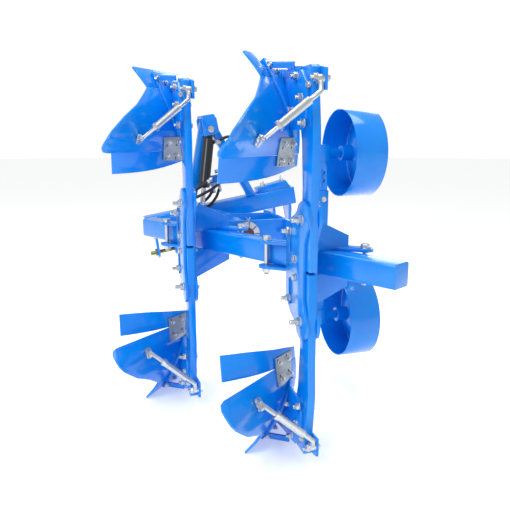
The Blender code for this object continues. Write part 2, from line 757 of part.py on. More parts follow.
def make_hub_nut():
    start = Vector((HUB_X, FRAME_REAR - FRAME_PLATE / 2 - 0.007, 0))
    end = start - Vector((0, HUB_NUT_LENGTH, 0))
    ring = rod(start, end, HUB_NUT_RADIUS, 32)
    return cut(ring, rod(start + Vector((0, 0.01, 0)), end - Vector((0, 0.01, 0)),
                         SHAFT_RADIUS + FIT_GAP, 32))


def make_hub_shaft():
    start = Vector((HUB_X, FRAME_REAR - FRAME_PLATE / 2 - 0.007 - HUB_NUT_LENGTH - 0.002, 0))
    return rod(start, Vector((HUB_X, CROSS_PLACE - CROSS_SIDE / 2 - FIT_GAP, 0)), SHAFT_RADIUS, 32)


# Headstock: cross tube with its hitch lugs, mast, stop and turnover cylinder
def lean_matrix(u, place, w):
    return Matrix.Translation(leaned(u, place, w)) @ Matrix.Rotation(-ROLL, 4, "Y")


def make_cross_tube():
    """Square tube with the hub housing below it and four hitch lugs."""
    body = box((2 * CROSS_HALF, CROSS_SIDE, CROSS_SIDE), lean_matrix(0, CROSS_PLACE, CROSS_LEVEL),
               0.008)
    rear, front = CROSS_PLACE - CROSS_SIDE / 2, CROSS_PLACE + CROSS_SIDE / 2
    housing = box((0.150, CROSS_SIDE, 0.150), lean_matrix(0, CROSS_PLACE, -0.010))
    body = welded(body, housing)
    lug = [(rear - 0.0, CROSS_LEVEL + 0.03), (rear + 0.0, -0.02), (HITCH_PIN_PLACE - 0.032, -0.11),
           (HITCH_PIN_PLACE - 0.030, -0.135), (HITCH_PIN_PLACE, -0.155),
           (HITCH_PIN_PLACE + 0.030, -0.140), (HITCH_PIN_PLACE + 0.034, -0.115), (front + 0.02, 0.0),
           (front + 0.002, CROSS_LEVEL + 0.03)]
    for u in (-LUG_OUTER, -LUG_INNER, LUG_INNER, LUG_OUTER):
        hole = ((HITCH_PIN_PLACE, HITCH_PIN_LEVEL, HITCH_PIN_RADIUS + FIT_GAP),)
        body = welded(body, plate(lug, LUG_PLATE, lean_matrix(u, 0, 0) @ ALONG, hole))
    return body


def make_hitch_pin(side):
    """A lower link pin through one pair of lugs, with a collar outside."""
    start = leaned(side * (LUG_INNER - 0.035), HITCH_PIN_PLACE, HITCH_PIN_LEVEL)
    end = leaned(side * (LUG_OUTER + 0.045), HITCH_PIN_PLACE, HITCH_PIN_LEVEL)
    stop_a = leaned(side * (LUG_OUTER + LUG_PLATE / 2 + 0.0004), HITCH_PIN_PLACE, HITCH_PIN_LEVEL)
    stop_b = leaned(side * (LUG_OUTER + LUG_PLATE / 2 + 0.010), HITCH_PIN_PLACE, HITCH_PIN_LEVEL)
    return welded(rod(start, end, HITCH_PIN_RADIUS, 20), rod(stop_a, stop_b, 0.020, 20))


def mast_places():
    """Where each ear of the clevis stands along travel, and the mast's own middle."""
    rear = CYLINDER_PLACE - EYE_WIDTH / 2 - 0.001 - MAST_PLATE / 2
    front = CYLINDER_PLACE + EYE_WIDTH / 2 + 0.001 + MAST_PLATE / 2
    legs = front + MAST_PLATE / 2 + MAST_DEPTH / 2 - 0.002
    far = legs + MAST_DEPTH / 2 + TOP_LINK_GAP + MAST_PLATE / 2
    return rear, front, legs, far


def make_mast():
    """Two leaning legs, a tie, and the clevis that carries the cylinder and the top link."""
    rear, front, legs, far = mast_places()
    foot = CROSS_LEVEL + CROSS_SIDE / 2 + FIT_GAP
    low = CLEVIS_LEVEL - 0.030
    ear = [(-0.042, low), (0.042, low), (0.040, 0.560), (0.026, 0.585), (-0.026, 0.585),
           (-0.040, 0.560)]
    depth = far - rear + MAST_PLATE - 0.002
    body = box((0.066, depth, 0.012), lean_matrix(0, (rear + far) / 2, 0.576))
    for spot in (rear, front, far):
        body = welded(body, plate(ear, MAST_PLATE, lean_matrix(0, spot, 0) @ ACROSS))
    for side in (-1, 1):
        outline = [(side * (MAST_FOOT - MAST_BAR / 2), foot),
                   (side * (MAST_FOOT + MAST_BAR / 2), foot),
                   (side * 0.038, MAST_TOP - 0.003 * side), (side * -0.012, MAST_TOP - 0.003 * side)]
        body = welded(body, plate(outline, MAST_DEPTH, lean_matrix(0, legs, 0) @ ACROSS))
    tie = box((0.250, MAST_DEPTH - 0.006, TIE_HEIGHT), lean_matrix(0, legs, TIE_LEVEL))
    pin_room = rod(leaned(0, rear - 0.1, CLEVIS_LEVEL), leaned(0, far + 0.1, CLEVIS_LEVEL),
                   CLEVIS_PIN_RADIUS + FIT_GAP, 20)
    return cut(welded(body, tie), pin_room)


def make_clevis_pin():
    start = leaned(0, CYLINDER_PLACE - EYE_WIDTH / 2 - MAST_PLATE - 0.008, CLEVIS_LEVEL)
    end = leaned(0, mast_places()[3] + MAST_PLATE / 2 + 0.008, CLEVIS_LEVEL)
    head = rod(start, start + Vector((0, 0.0064, 0)), CLEVIS_PIN_RADIUS + 0.006, 20)
    return welded(rod(start + Vector((0, 0.002, 0)), end, CLEVIS_PIN_RADIUS, 20), head)


def make_stop_block():
    """The box on the right half of the cross tube, with the turnover stops on its lid."""
    foot = CROSS_LEVEL + CROSS_SIDE / 2 + FIT_GAP
    outline = [(0.225, foot), (0.425, foot), (0.400, foot + 0.045), (0.225, foot + 0.030)]
    return plate(outline, CROSS_SIDE - 0.02, lean_matrix(0, CROSS_PLACE, 0) @ ACROSS)


def cylinder_axis():
    """Clevis pin, rod eye and the direction between them at rest."""
    top = leaned(0, CYLINDER_PLACE, CLEVIS_LEVEL)
    eye = Vector((CRANK_PIN.x, CYLINDER_PLACE, CRANK_PIN.y))
    return top, eye, (eye - top).normalized()


def port_side(run):
    """Square to the cylinder, to its right."""
    return Vector((-run.z, 0, run.x))


def make_barrel():
    top, eye, run = cylinder_axis()
    half = Vector((0, EYE_WIDTH / 2, 0))
    ring = rod(top - half, top + half, 0.026, 24)
    neck = rod(top + run * 0.012, top + run * 0.058, 0.022, 20)
    barrel = rod(top + run * 0.052, top + run * BARREL_LENGTH, BARREL_RADIUS, 28)
    gland = rod(top + run * (BARREL_LENGTH - 0.03), top + run * (BARREL_LENGTH + 0.004),
                BARREL_RADIUS + 0.002, 24)
    body = welded(ring, neck, barrel, gland)
    side = port_side(run)
    for along, direction in ((UPPER_PORT, UPPER_ELBOW), (LOWER_PORT, LOWER_ELBOW)):
        port = top + run * along + side * (BARREL_RADIUS - 0.004)
        elbow = top + run * along + side * PORT_REACH
        body = welded(body, rod(port, port + side * 0.020, PORT_RADIUS, 12),
                      rod(elbow, elbow + direction * ELBOW_LENGTH, ELBOW_RADIUS, 12))
    pin_hole = rod(top - half * 2, top + half * 2, CLEVIS_PIN_RADIUS + 0.0004, 24)
    bore = rod(top + run * 0.060, top + run * (BARREL_LENGTH + 0.02), ROD_RADIUS + 0.0004, 24)
    return cut(body, pin_hole, bore)


def make_cylinder_rod():
    """Rod, eye and the pin that meets the crank."""
    top, eye, run = cylinder_axis()
    half = Vector((0, 0.018, 0))
    shaft = rod(top + run * 0.160, eye - run * 0.010, ROD_RADIUS, 24)
    ring = rod(eye - half, eye + half, ROD_EYE_RADIUS, 24)
    return welded(shaft, ring)


# Hydraulic hoses, held at both ends
def smooth_route(points, steps):
    """Points read from a Catmull-Rom curve through a route's own points."""
    route = [Vector(p) for p in points]
    ends = [route[0] * 2 - route[1]] + route + [route[-1] * 2 - route[-2]]
    out = []
    for a, b, c, d in zip(ends, ends[1:], ends[2:], ends[3:]):
        for k in range(steps):
            t = k / steps
            out.append(0.5 * ((2 * b) + (c - a) * t + (2 * a - 5 * b + 4 * c - d) * t * t
                              + (3 * b - a - 3 * c + d) * t ** 3))
    return out + [route[-1]]


def make_hose(along, direction, route, end):
    """From its elbow on the barrel, along its own loops, up into its union under the tie."""
    top, _, run = cylinder_axis()
    start = top + run * along + port_side(run) * PORT_REACH
    start += direction * (ELBOW_LENGTH + HOSE_GAP)
    loops = [Vector((x, y + CYLINDER_PLACE, z)) for x, y, z in route]
    union = TIE_LEVEL - TIE_HEIGHT / 2 - BLOCK_HEIGHT - UNION_HEIGHT - HOSE_GAP
    finish = leaned(end, mast_places()[2], union)
    below = leaned(end, mast_places()[2], union - 0.010)
    points = smooth_route([start, start + direction * 0.012] + loops + [below, finish], 2)
    return tube(points, HOSE_RADIUS)


def make_coupling_block():
    """A block bolted under the tie, with one hexagon union for each hose."""
    place = mast_places()[2]
    top = TIE_LEVEL - TIE_HEIGHT / 2 - FIT_GAP
    middle = (UPPER_HOSE_END + LOWER_HOSE_END) / 2
    body = box((0.070, 0.026, BLOCK_HEIGHT), lean_matrix(middle, place, top - BLOCK_HEIGHT / 2))
    for end in (UPPER_HOSE_END, LOWER_HOSE_END):
        union = rod(leaned(end, place, top - BLOCK_HEIGHT + 0.002),
                    leaned(end, place, top - BLOCK_HEIGHT - UNION_HEIGHT), 0.0115, 6)
        body = welded(body, union)
    return body


def make_relief_valve():
    """A small turned valve that lies on the tie, on its own foot."""
    place = mast_places()[2]
    top = TIE_LEVEL + TIE_HEIGHT / 2 + FIT_GAP
    foot = box((0.030, 0.026, 0.012), lean_matrix(0.035, place, top + 0.006))
    axis = top + 0.018
    barrel = rod(leaned(-0.006, place, axis), leaned(0.072, place, axis), 0.0105, 20)
    cap = rod(leaned(0.060, place, axis), leaned(0.082, place, axis), 0.0130, 6)
    return welded(foot, barrel, cap)


def assemble():
    clear_scene()
    group = collection("reversible_mouldboard_plough")
    blue = material("blue_paint", BLUE, 0.0, 0.28)
    zinc = material("zinc_plate", ZINC, 0.85, 0.38)
    grey = material("bare_grey_plate", GREY, 0.5, 0.45)
    black = material("black_paint", BLACK, 0.0, 0.35)
    brown = material("primed_shaft", BROWN, 0.1, 0.5)
    olive = material("olive_zinc", OLIVE, 0.8, 0.4)
    rubber = material("hose_rubber", BLACK, 0.0, 0.6)

    root = pivot("plough_origin", (0, 0, 0), None)
    turnover = pivot("turnover_axis", (HUB_X, FRAME_REAR, 0), root)

    make_bodies(group, turnover, blue, zinc, grey)
    piece("beam", make_beam(), blue, turnover, group)
    for row, shift in (("rear", Vector((0, 0, 0))), ("front", BODY_SHIFT)):
        piece(f"{row}_leg_bracket", in_body(make_leg_bracket(), shift), blue, turnover, group)
        for spot, run, sideways in CLAMP_BOLTS:
            bolt = in_body(make_clamp_bolt(run, sideways), shift)
            piece(f"{row}_{spot}_clamp_bolt", bolt, zinc, turnover, group)
    piece("turning_frame", make_turning_frame(), blue, turnover, group)
    piece("link_plate", make_link_plate(), blue, turnover, group)
    piece("wheel_sleeve", make_wheel_sleeve(), blue, turnover, group)
    for level, side in (("upper", UPPER), ("lower", LOWER)):
        slide = pivot(f"{level}_wheel_slide", (ARM_X, ARM_Y, side * WHEEL_LEVEL), turnover)
        piece(f"{level}_wheel_bar", make_wheel_bar(side), blue, slide, group)
        axle = pivot(f"{level}_wheel_axis", (WHEEL_LEFT, ARM_Y, side * WHEEL_LEVEL), slide)
        piece(f"{level}_depth_wheel", make_wheel(side), blue, axle, group)

    piece("cross_tube", make_cross_tube(), blue, root, group)
    piece("hub_shaft", make_hub_shaft(), brown, root, group)
    piece("hub_nut", make_hub_nut(), zinc, root, group)
    piece("mast", make_mast(), blue, root, group)
    piece("clevis_pin", make_clevis_pin(), zinc, root, group)
    piece("stop_block", make_stop_block(), blue, root, group)
    piece("left_hitch_pin", make_hitch_pin(-1), olive, root, group)
    piece("right_hitch_pin", make_hitch_pin(1), olive, root, group)
    piece("coupling_block", make_coupling_block(), zinc, root, group)
    piece("relief_valve", make_relief_valve(), zinc, root, group)
    for level, along, direction, route, end in (
            ("upper", UPPER_PORT, UPPER_ELBOW, UPPER_HOSE, UPPER_HOSE_END),
            ("lower", LOWER_PORT, LOWER_ELBOW, LOWER_HOSE, LOWER_HOSE_END)):
        hose = make_hose(along, direction, route, end)
        piece(f"{level}_port_hose", hose, rubber, root, group)
    top, eye, _ = cylinder_axis()
    swing = pivot("cylinder_swing", top, root)
    piece("cylinder_barrel", make_barrel(), black, swing, group)
    slide = pivot("rod_slide", eye, swing)
    piece("cylinder_rod", make_cylinder_rod(), zinc, slide, group)
    root.location = -ORIGIN


assemble()
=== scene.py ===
"""A two-furrow reversible mouldboard plough: its finished surfaces, bolts, welds and light.

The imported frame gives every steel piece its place, in metres, with X to the right, Y the way of
travel and Z up. Each section below takes one piece or one group of like pieces.
"""
import json
import math

import bmesh
import bpy
from mathutils import Matrix, Vector
from mathutils.bvhtree import BVHTree

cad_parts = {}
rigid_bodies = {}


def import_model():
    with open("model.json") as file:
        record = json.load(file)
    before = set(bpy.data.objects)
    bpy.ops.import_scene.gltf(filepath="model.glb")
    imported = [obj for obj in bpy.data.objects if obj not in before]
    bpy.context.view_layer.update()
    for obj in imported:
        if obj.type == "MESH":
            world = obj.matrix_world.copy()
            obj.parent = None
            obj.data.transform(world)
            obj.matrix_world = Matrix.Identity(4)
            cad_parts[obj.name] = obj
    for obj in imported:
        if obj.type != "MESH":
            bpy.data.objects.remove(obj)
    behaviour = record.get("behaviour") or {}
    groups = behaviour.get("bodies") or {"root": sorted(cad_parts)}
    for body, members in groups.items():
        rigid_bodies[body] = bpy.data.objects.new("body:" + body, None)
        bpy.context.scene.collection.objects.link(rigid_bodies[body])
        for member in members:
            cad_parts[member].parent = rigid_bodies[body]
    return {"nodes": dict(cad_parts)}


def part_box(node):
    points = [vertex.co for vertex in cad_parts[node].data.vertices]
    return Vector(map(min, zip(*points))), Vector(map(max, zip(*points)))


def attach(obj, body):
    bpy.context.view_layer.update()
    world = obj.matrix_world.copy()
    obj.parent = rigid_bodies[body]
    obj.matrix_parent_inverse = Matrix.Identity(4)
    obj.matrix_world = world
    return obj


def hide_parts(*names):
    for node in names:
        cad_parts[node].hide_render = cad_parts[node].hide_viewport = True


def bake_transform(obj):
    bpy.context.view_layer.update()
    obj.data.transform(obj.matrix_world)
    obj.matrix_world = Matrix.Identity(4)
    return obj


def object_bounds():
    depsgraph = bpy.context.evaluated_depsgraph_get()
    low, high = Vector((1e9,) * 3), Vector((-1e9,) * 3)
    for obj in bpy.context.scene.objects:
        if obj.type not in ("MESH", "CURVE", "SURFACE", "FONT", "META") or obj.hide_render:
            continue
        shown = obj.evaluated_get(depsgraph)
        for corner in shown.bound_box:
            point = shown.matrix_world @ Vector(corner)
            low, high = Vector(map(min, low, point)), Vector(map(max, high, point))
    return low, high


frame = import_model()
cad_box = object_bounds()


# Beam
# A rolled square tube of structural steel that the bodies are clamped to, closed by a welded plate
# at its rear end and open in front. It is shot blasted, then sprayed with azure machinery enamel.
BEAM_EDGE = 0.0015


def linear(colour):
    """sRGB hex to linear RGBA."""
    parts = [int(colour[k:k + 2], 16) / 255 for k in (1, 3, 5)]
    return (*[c / 12.92 if c < 0.04045 else ((c + 0.055) / 1.055) ** 2.4 for c in parts], 1)


def add_node(tree, kind, inputs=None, **settings):
    """One node with its settings; an input is a plain value or the output it is linked to."""
    node = tree.nodes.new(kind)
    for name, value in settings.items():
        setattr(node, name, value)
    for key, value in (inputs or {}).items():
        if isinstance(value, bpy.types.NodeSocket):
            tree.links.new(value, node.inputs[key])
        else:
            node.inputs[key].default_value = value
    return node


def new_finish(name, **shader_values):
    """A material with the shader's uniform values set on its own sockets."""
    finish = bpy.data.materials.new(name)
    finish.use_nodes = True
    tree = finish.node_tree
    shader = tree.nodes["Principled BSDF"]
    for socket, value in shader_values.items():
        shader.inputs[socket.replace("_", " ")].default_value = value
    place = add_node(tree, "ShaderNodeTexCoord").outputs["Object"]
    return finish, tree, shader, place


def per_metre(millimetres):
    """A texture scale whose pattern repeats at that real size."""
    return 1000 / millimetres


# Two-pack machinery enamel over primer: full gloss, with the soft orange peel of a spray gun and a
# slightly uneven depth of colour. The peel is really 2 mm across and is drawn 7 mm so that it
# shows.
enamel, tree, shader, place = new_finish("sprayed_azure_enamel", IOR=1.5, Coat_Weight=0.3,
                                         Coat_Roughness=0.06, Specular_IOR_Level=0.4)
depth = add_node(tree, "ShaderNodeTexNoise", {"Vector": place, "Scale": per_metre(140),
                                              "Detail": 3.0, "Roughness": 0.6})
colour = add_node(tree, "ShaderNodeMix", {0: depth.outputs["Fac"], 6: linear("#0074DA"),
                                          7: linear("#0090EE")}, data_type="RGBA")
dust = add_node(tree, "ShaderNodeTexNoise", {"Vector": place, "Scale": per_metre(9),
                                             "Detail": 6.0, "Roughness": 0.75})
film = add_node(tree, "ShaderNodeMapRange", {"Value": dust.outputs["Fac"], "From Min": 0.56,
                                             "From Max": 0.76, "To Min": 0.0, "To Max": 0.18})
dusty = add_node(tree, "ShaderNodeMix", {0: film.outputs[0], 6: colour.outputs[2],
                                         7: linear("#35A6F2")}, data_type="RGBA")
tree.links.new(dusty.outputs[2], shader.inputs["Base Color"])
sheen = add_node(tree, "ShaderNodeMapRange", {"Value": dust.outputs["Fac"], "From Min": 0.3,
                                              "From Max": 0.7, "To Min": 0.14, "To Max": 0.26})
tree.links.new(sheen.outputs[0], shader.inputs["Roughness"])
peel = add_node(tree, "ShaderNodeTexNoise", {"Vector": place, "Scale": per_metre(7),
                                             "Detail": 2.0})
bump = add_node(tree, "ShaderNodeBump", {"Height": peel.outputs["Fac"], "Strength": 0.35,
                                         "Distance": 0.0004})
tree.links.new(bump.outputs["Normal"], shader.inputs["Normal"])


def made(name, bm, finish, body, crease=32):
    """A finished piece that rides on one body of the frame."""
    mesh = bpy.data.meshes.new(name)
    bm.to_mesh(mesh)
    bm.free()
    mesh.shade_smooth()
    mesh.set_sharp_from_angle(angle=math.radians(crease))
    mesh.materials.append(finish)
    item = bpy.data.objects.new(name, mesh)
    bpy.context.scene.collection.objects.link(item)
    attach(item, body)
    return item


def softened(node, radius, finish, segments=2, turn=34):
    """A merged copy of one steel piece with its cut edges rounded, in place of the plain one."""
    plain = frame["nodes"][node]
    bm = bmesh.new()
    bm.from_mesh(plain.data)
    bmesh.ops.remove_doubles(bm, verts=bm.verts, dist=0.00002)
    bmesh.ops.dissolve_limit(bm, angle_limit=math.radians(0.7), verts=bm.verts, edges=bm.edges)
    sharp = [e for e in bm.edges if e.is_manifold and e.calc_face_angle() > math.radians(turn)]
    bmesh.ops.bevel(bm, geom=sharp, offset=radius, segments=segments, profile=0.5,
                    affect="EDGES", clamp_overlap=True, material=-1)
    item = made(node + "_finished", bm, finish, plain.parent.name.split(":")[1])
    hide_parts(node)
    return item


softened("beam", BEAM_EDGE, enamel)


# Leg brackets and their clamp bolts
# Flame-cut cheeks and a saddle plate, welded up, that grip a pair of legs. Two long bolts at each
# bracket pull flat clamp plates down on the beam. Bolts and nuts are zinc plated and left bare.
BRACKET_EDGE = 0.0014
ROWS = ("rear", "front")
SIDES = (("upper", 1), ("lower", -1))
MIDDLE = (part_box("rear_lower_share")[0][2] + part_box("rear_upper_share")[1][2]) / 2
CHEEK_LEFT = -0.0526        # outer face of each cheek, from the landside's outer face
CHEEK_RIGHT = 0.0020

zinc, tree, shader, place = new_finish("bright_zinc_plate", Metallic=1.0)
# Electroplated zinc on turned steel: silvery, a little cloudy, duller where hands have been.
cloud = add_node(tree, "ShaderNodeTexNoise", {"Vector": place, "Scale": per_metre(14),
                                              "Detail": 5.0, "Roughness": 0.7})
colour = add_node(tree, "ShaderNodeMix", {0: cloud.outputs["Fac"], 6: linear("#A9B0B6"),
                                          7: linear("#E4E7E6")}, data_type="RGBA")
tree.links.new(colour.outputs[2], shader.inputs["Base Color"])
dull = add_node(tree, "ShaderNodeMapRange", {"Value": cloud.outputs["Fac"], "From Min": 0.3,
                                             "From Max": 0.7, "To Min": 0.42, "To Max": 0.24})
tree.links.new(dull.outputs[0], shader.inputs["Roughness"])
grain = add_node(tree, "ShaderNodeTexNoise", {"Vector": place, "Scale": per_metre(1.5),
                                              "Detail": 3.0})
bump = add_node(tree, "ShaderNodeBump", {"Height": grain.outputs["Fac"], "Strength": 0.2,
                                         "Distance": 0.0002})
tree.links.new(bump.outputs["Normal"], shader.inputs["Normal"])


def lathe(profile, steps, ring=False):
    """A turned piece about Z from (radius, height) points, closed on the axis or as a ring."""
    bm = bmesh.new()
    points = [bm.verts.new((radius, 0, height)) for radius, height in profile]
    pairs = list(zip(points, points[1:] + points[:1] if ring else points[1:]))
    edges = [bm.edges.new(pair) for pair in pairs]
    bmesh.ops.spin(bm, geom=points + edges, cent=(0, 0, 0), axis=(0, 0, 1), angle=math.tau,
                   steps=steps, use_merge=True)
    bmesh.ops.remove_doubles(bm, verts=bm.verts, dist=0.000001)
    bmesh.ops.recalc_face_normals(bm, faces=bm.faces)
    return bm


def put(bm, part, matrix):
    """Adds a copy of a part to bm at a matrix."""
    mesh = bpy.data.meshes.new("copy")
    part.to_mesh(mesh)
    mesh.transform(matrix)
    bm.from_mesh(mesh)
    bpy.data.meshes.remove(mesh)


def facing(point, direction):
    """A matrix at point whose Z axis runs along direction."""
    turn = Vector(direction).to_track_quat("Z", "Y").to_matrix().to_4x4()
    return Matrix.Translation(point) @ turn


def hexagon(across, height):
    """Six flats with a chamfered top, standing on the XY plane."""
    bm = bmesh.new()
    corner = across / math.sqrt(3)
    bmesh.ops.create_cone(bm, cap_ends=True, segments=6, radius1=corner, radius2=corner,
                          depth=height, matrix=Matrix.Translation((0, 0, height / 2)))
    rim = [e for e in bm.edges if all(v.co.z > height * 0.99 for v in e.verts)]
    bmesh.ops.bevel(bm, geom=rim, offset=across * 0.06, segments=1, profile=0.5,
                    affect="EDGES", material=-1)
    return bm


def threaded(radius, length):
    """The threaded end of a bolt, with a coarse pitch and a chamfered tip."""
    pitch = radius * 0.30
    turns = max(2, round(length / pitch))
    profile = [(0, 0)]
    for k in range(turns):
        level = length * k / turns
        profile += [(radius, level + 0.2 * pitch), (radius - pitch * 0.45, level + 0.7 * pitch)]
    profile += [(radius * 0.8, length + pitch * 0.4), (0, length + pitch * 0.4)]
    return lathe(profile, 16)


def washer(size):
    rise = size * 0.14
    return lathe([(0, 0), (size, 0), (size * 1.03, rise * 0.5), (size, rise), (0, rise)], 24)


def bolt_head(size):
    """Hex head on its washer for a thread of that diameter."""
    bm = washer(size)
    put(bm, hexagon(size * 1.55, size * 0.66), Matrix.Translation((0, 0, size * 0.14)))
    return bm


def nut_end(size, reach):
    """Washer, nut and the end of the thread that stands out of it."""
    bm = washer(size)
    put(bm, hexagon(size * 1.55, size * 0.82), Matrix.Translation((0, 0, size * 0.14)))
    put(bm, threaded(size / 2, reach), Matrix.Translation((0, 0, size * 0.9)))
    return bm


def weld(bm, start, end, width):
    """A hand-laid fillet weld, scale on scale from start to end."""
    start, end = Vector(start), Vector(end)
    scales = max(2, round((end - start).length / (width * 0.42)))
    flat = Matrix.Diagonal((1.0, 1.0, 0.62, 1))
    for k in range(scales + 1):
        place = facing(start.lerp(end, k / scales), end - start) @ flat
        bmesh.ops.create_icosphere(bm, subdivisions=1, radius=width / 2, matrix=place)


def body_point(row, x, y, z):
    """A place on one pair of bodies, from its landside heel on the middle plane."""
    low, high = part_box(row + "_lower_landside")
    return Vector((high[0] + x, low[1] + y, MIDDLE + z))


for row in ROWS:
    softened(row + "_leg_bracket", BRACKET_EDGE, enamel)
    bolts = bmesh.new()
    seams = bmesh.new()
    for level, side in SIDES:
        pivot_left = body_point(row, CHEEK_LEFT, 0.078, side * 0.185)
        put(bolts, nut_end(0.018, 0.022), facing(pivot_left, (-1, 0, 0)))
        pivot_right = body_point(row, CHEEK_RIGHT, 0.078, side * 0.185)
        put(bolts, bolt_head(0.018), facing(pivot_right, (1, 0, 0)))
        shear_left = body_point(row, CHEEK_LEFT, 0.197, side * 0.128)
        put(bolts, nut_end(0.016, 0.018), facing(shear_left, (-1, 0, 0)))
        shear_right = body_point(row, CHEEK_RIGHT, 0.184, side * 0.128)
        put(bolts, bolt_head(0.016), facing(shear_right, (1, 0, 0)))
        small_left = body_point(row, CHEEK_LEFT, 0.137, side * 0.035)
        put(bolts, bolt_head(0.014), facing(small_left, (-1, 0, 0)))
        small_right = body_point(row, CHEEK_RIGHT, 0.137, side * 0.035)
        put(bolts, nut_end(0.014, 0.008), facing(small_right, (1, 0, 0)))
        for x in (-0.0535, 0.0025):
            low_end = body_point(row, x, 0.1935, side * 0.05)
            weld(seams, low_end, body_point(row, x, 0.1935, side * 0.150), 0.007)
    made(row + "_bracket_bolts", bolts, zinc, "plough_frame")
    made(row + "_bracket_welds", seams, enamel, "plough_frame")
    for spot in ("left", "right"):
        node = f"{row}_{spot}_clamp_bolt"
        low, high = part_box(node)
        x, y = (low[0] + high[0]) / 2, (low[1] + high[1]) / 2
        seat = MIDDLE + 0.0576
        long_bolt = bmesh.new()
        put(long_bolt, bolt_head(0.020), Matrix.Translation((x, y, seat)))
        shank = lathe([(0, -0.118), (0.0098, -0.118), (0.0098, 0.002), (0, 0.002)], 24)
        put(long_bolt, shank, Matrix.Translation((x, y, seat)))
        put(long_bolt, nut_end(0.020, 0.009), facing((x, y, 2 * MIDDLE - seat), (0, 0, -1)))
        item = made(node + "_finished", long_bolt, zinc, "plough_frame")
        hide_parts(node)


# Legs
# Flame-cut bars of spring steel, 30 mm thick, whose profile widens towards the frog. Their edges
# are ground before they are sprayed.
LEG_EDGE = 0.002

for row in ROWS:
    for level, side in SIDES:
        softened(f"{row}_{level}_leg", LEG_EDGE, enamel)


# Shares, mouldboards, frogs, strips and landsides
# Pressed and hardened steel sheet with countersunk plough bolts, whose nuts show on the frog's
# back. A bare grey joint plate with two slots holds the strip behind the mouldboard's upper edge.
SHEET_EDGE = 0.0011
FROG_BOLTS = ((-0.124, 0.711), (-0.084, 0.695), (-0.046, 0.636), (-0.062, 0.560))
FLANGE_NUTS = ((0.147, 0.670), (0.099, 0.597), (0.073, 0.513))
FLANGE_LEFT = -0.0526
LEG_RIGHT = -0.0103

grey_steel, tree, shader, place = new_finish("phosphated_grey_steel", Metallic=0.75)
# Laser-cut steel sheet with a grey phosphate coat: matt, with fine rolling streaks along it.
streak = add_node(tree, "ShaderNodeMapping", {"Vector": place, "Scale": (1.0, 1.0, 9.0)})
rolled = add_node(tree, "ShaderNodeTexNoise", {"Vector": streak.outputs[0],
                                               "Scale": per_metre(40), "Detail": 6.0})
colour = add_node(tree, "ShaderNodeMix", {0: rolled.outputs["Fac"], 6: linear("#7D868F"),
                                          7: linear("#B4BBC2")}, data_type="RGBA")
tree.links.new(colour.outputs[2], shader.inputs["Base Color"])
matt = add_node(tree, "ShaderNodeMapRange", {"Value": rolled.outputs["Fac"], "From Min": 0.3,
                                             "From Max": 0.7, "To Min": 0.5, "To Max": 0.36})
tree.links.new(matt.outputs[0], shader.inputs["Roughness"])


def surface(node):
    """A search tree of one steel piece."""
    bm = bmesh.new()
    bm.from_mesh(frame["nodes"][node].data)
    found = BVHTree.FromBMesh(bm)
    bm.free()
    return found


def behind(tree, point):
    """Where a line forwards from behind point meets the piece, and the way out of it."""
    spot, normal, _, _ = tree.ray_cast(Vector((point.x, point.y - 1, point.z)), Vector((0, 1, 0)))
    if normal.y > 0:
        normal = -normal
    return spot, normal


def ahead(tree, point):
    """The same from in front."""
    spot, normal, _, _ = tree.ray_cast(Vector((point.x, point.y + 1, point.z)), Vector((0, -1, 0)))
    if normal.y < 0:
        normal = -normal
    return spot, normal


def countersunk(size):
    """The flush head of a plough bolt, a shallow dome."""
    return lathe([(0, -0.001), (size, -0.001), (size * 0.98, 0.0004), (size * 0.6, 0.0009),
                  (0, 0.0011)], 24)


def drilled(item, cutters):
    """Cuts the closed shapes in cutters out of a finished piece, and keeps its slots sharp."""
    mesh = bpy.data.meshes.new("cutters")
    cutters.to_mesh(mesh)
    cutters.free()
    cutter = bpy.data.objects.new("cutters", mesh)
    bpy.context.scene.collection.objects.link(cutter)
    change = item.modifiers.new("Drill", "BOOLEAN")
    change.operation = "DIFFERENCE"
    change.solver = "EXACT"
    change.object = cutter
    bpy.context.view_layer.update()
    graph = bpy.context.evaluated_depsgraph_get()
    result = bpy.data.meshes.new_from_object(item.evaluated_get(graph))
    item.modifiers.clear()
    item.data = result
    bpy.data.objects.remove(cutter)
    bpy.data.meshes.remove(mesh)
    result.shade_smooth()
    result.set_sharp_from_angle(angle=math.radians(32))
    return item


SLOT = lathe([(0, 0), (0.0046, 0), (0.0046, 0.04), (0, 0.04)], 16)

